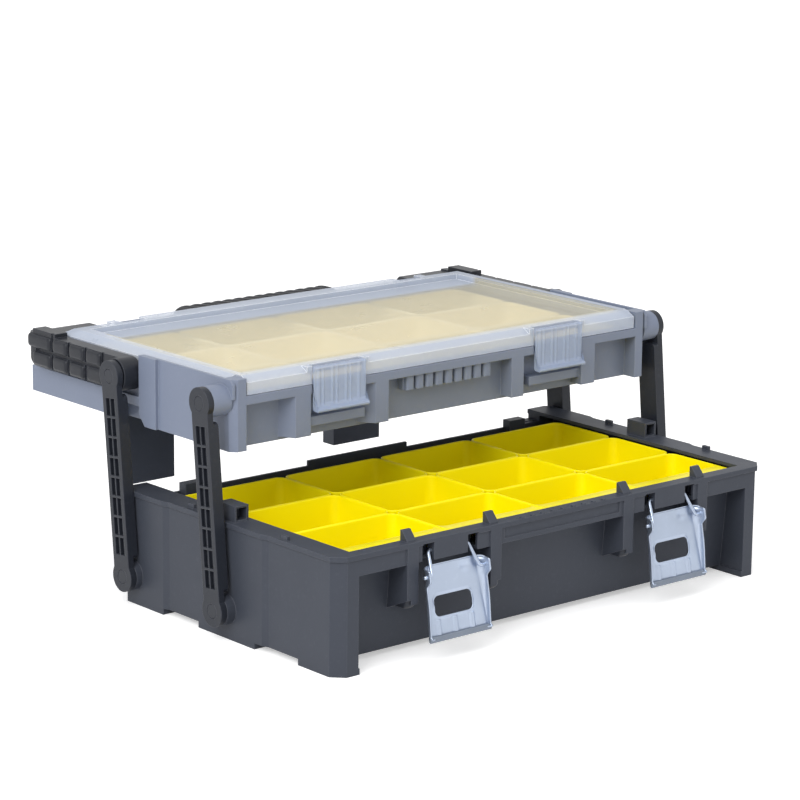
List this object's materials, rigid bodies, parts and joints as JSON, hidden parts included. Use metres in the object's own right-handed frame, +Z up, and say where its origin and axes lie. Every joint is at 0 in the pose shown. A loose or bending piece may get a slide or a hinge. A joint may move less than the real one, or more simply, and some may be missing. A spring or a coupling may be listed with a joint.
{
  "type": "cantilever tool box",
  "caption": "Two-tier cantilever tool box: a deep tub of yellow cups, and a lidded tray of cream cups that swings up and back on ribbed side arms",
  "frame": {"origin": "middle of the tub's underside, at floor level, on the runner's flat face", "axes": "+X to the right along the box's length, +Y to the back, +Z up"},
  "size_m": [0.49, 0.4293, 0.2047],
  "materials": {
    "charcoal": "fine-textured moulded plastic, satin",
    "pin_dark": "smooth moulded pivot heads",
    "cup_yellow": "smooth moulded plastic",
    "cup_cream": "smooth moulded plastic",
    "slate": "fine-textured moulded plastic, satin",
    "lid_clear": "frosted clear plastic",
    "pin_steel": "plain steel rod",
    "dark_grey": "moulded plastic",
    "zinc": "bluish zinc-plated sheet and wire",
    "black": "moulded plastic, satin",
    "grip_black": "moulded sleeve with shallow ribs"
  },
  "bodies": {
    "tub": {"tub": "charcoal", "lower_cup_1_1": "cup_yellow", "lower_cup_1_2": "cup_yellow", "lower_cup_1_3": "cup_yellow", "lower_cup_1_4": "cup_yellow", "lower_cup_2_1": "cup_yellow", "lower_cup_2_2": "cup_yellow", "lower_cup_2_3": "cup_yellow", "lower_cup_2_4": "cup_yellow", "lower_cup_3_1": "cup_yellow", "lower_cup_3_2": "cup_yellow", "lower_cup_3_3": "cup_yellow", "lower_cup_3_4": "cup_yellow", "lower_pin_front_left": "pin_dark", "lower_pin_front_right": "pin_dark", "lower_pin_rear_left": "pin_dark", "lower_pin_rear_right": "pin_dark"},
    "tray": {"tray": "slate", "upper_cup_1_1": "cup_cream", "upper_cup_1_2": "cup_cream", "upper_cup_1_3": "cup_cream", "upper_cup_1_4": "cup_cream", "upper_cup_2_1": "cup_cream", "upper_cup_2_2": "cup_cream", "upper_cup_2_3": "cup_cream", "upper_cup_2_4": "cup_cream", "upper_cup_3_1": "cup_cream", "upper_cup_3_2": "cup_cream", "upper_cup_3_3": "cup_cream", "upper_cup_3_4": "cup_cream", "upper_pin_front_left": "pin_dark", "upper_pin_front_right": "pin_dark", "upper_pin_rear_left": "pin_dark", "upper_pin_rear_right": "pin_dark", "lid_hinge_pin_left": "pin_steel", "lid_hinge_pin_right": "pin_steel", "rear_leg_left": "dark_grey", "rear_leg_right": "dark_grey"},
    "lid": {"lid": "lid_clear", "lid_latch_pin_left": "pin_steel", "lid_latch_pin_right": "pin_steel"},
    "handle": {"handle": "black", "handle_grip": "grip_black"},
    "arm_front_left": {"arm_front_left": "charcoal"},
    "arm_front_right": {"arm_front_right": "charcoal"},
    "arm_rear_left": {"arm_rear_left": "charcoal"},
    "arm_rear_right": {"arm_rear_right": "charcoal"},
    "lid_latch_left": {"lid_latch_left": "lid_clear"},
    "latch_wire_left": {"latch_wire_left": "zinc"},
    "latch_plate_left": {"latch_plate_left": "zinc"},
    "lid_latch_right": {"lid_latch_right": "lid_clear"},
    "latch_wire_right": {"latch_wire_right": "zinc"},
    "latch_plate_right": {"latch_plate_right": "zinc"}
  },
  "joints": [
    {"name": "lift", "type": "hinge", "parent": "tub", "child": "arm_rear_left", "pos_m": [-0.24225, 0.1197, 0.0245], "axis": [1, 0, 0], "range_deg": [0, 53.05]},
    {"name": "arm_rear_right_swing", "type": "hinge", "parent": "tub", "child": "arm_rear_right", "pos_m": [0.24225, 0.1197, 0.0245], "axis": [1, 0, 0], "range_deg": [0, 53.05]},
    {"name": "arm_front_left_swing", "type": "hinge", "parent": "tub", "child": "arm_front_left", "pos_m": [-0.24225, -0.0003, 0.0245], "axis": [1, 0, 0], "range_deg": [0, 53.05]},
    {"name": "arm_front_right_swing", "type": "hinge", "parent": "tub", "child": "arm_front_right", "pos_m": [0.24225, -0.0003, 0.0245], "axis": [1, 0, 0], "range_deg": [0, 53.05]},
    {"name": "tray_level", "type": "hinge", "parent": "arm_rear_left", "child": "tray", "pos_m": [-0.24225, 0.13532, 0.18675], "axis": [1, 0, 0], "range_deg": [-53.05, 0]},
    {"name": "lid_hinge", "type": "hinge", "parent": "tray", "child": "lid", "pos_m": [0, 0.23741, 0.19975], "axis": [-1, 0, 0], "range_deg": [0, 100]},
    {"name": "lid_latch_left_hinge", "type": "hinge", "parent": "lid", "child": "lid_latch_left", "pos_m": [-0.118, 0.00441, 0.20115], "axis": [-1, 0, 0], "range_deg": [0, 90]},
    {"name": "lid_latch_right_hinge", "type": "hinge", "parent": "lid", "child": "lid_latch_right", "pos_m": [0.118, 0.00441, 0.20115], "axis": [-1, 0, 0], "range_deg": [0, 90]},
    {"name": "handle_hinge", "type": "hinge", "parent": "tray", "child": "handle", "pos_m": [0, 0.13532, 0.18675], "axis": [-1, 0, 0], "range_deg": [-90, 0]},
    {"name": "latch_wire_left_swing", "type": "hinge", "parent": "tub", "child": "latch_wire_left", "pos_m": [-0.118, -0.1308, 0.084], "axis": [1, 0, 0], "range_deg": [-25, 10]},
    {"name": "latch_plate_left_swing", "type": "hinge", "parent": "latch_wire_left", "child": "latch_plate_left", "pos_m": [-0.118, -0.141, 0.0665], "axis": [1, 0, 0], "range_deg": [-170, 0]},
    {"name": "latch_wire_right_swing", "type": "hinge", "parent": "tub", "child": "latch_wire_right", "pos_m": [0.118, -0.1308, 0.084], "axis": [1, 0, 0], "range_deg": [-25, 10]},
    {"name": "latch_plate_right_swing", "type": "hinge", "parent": "latch_wire_right", "child": "latch_plate_right", "pos_m": [0.118, -0.141, 0.0665], "axis": [1, 0, 0], "range_deg": [-170, 0]}
  ],
  "couplings": [
    {"joint": "arm_rear_right_swing", "follows": "lift", "ratio": 1},
    {"joint": "arm_front_left_swing", "follows": "lift", "ratio": 1},
    {"joint": "arm_front_right_swing", "follows": "lift", "ratio": 1},
    {"joint": "tray_level", "follows": "lift", "ratio": -1}
  ]
}
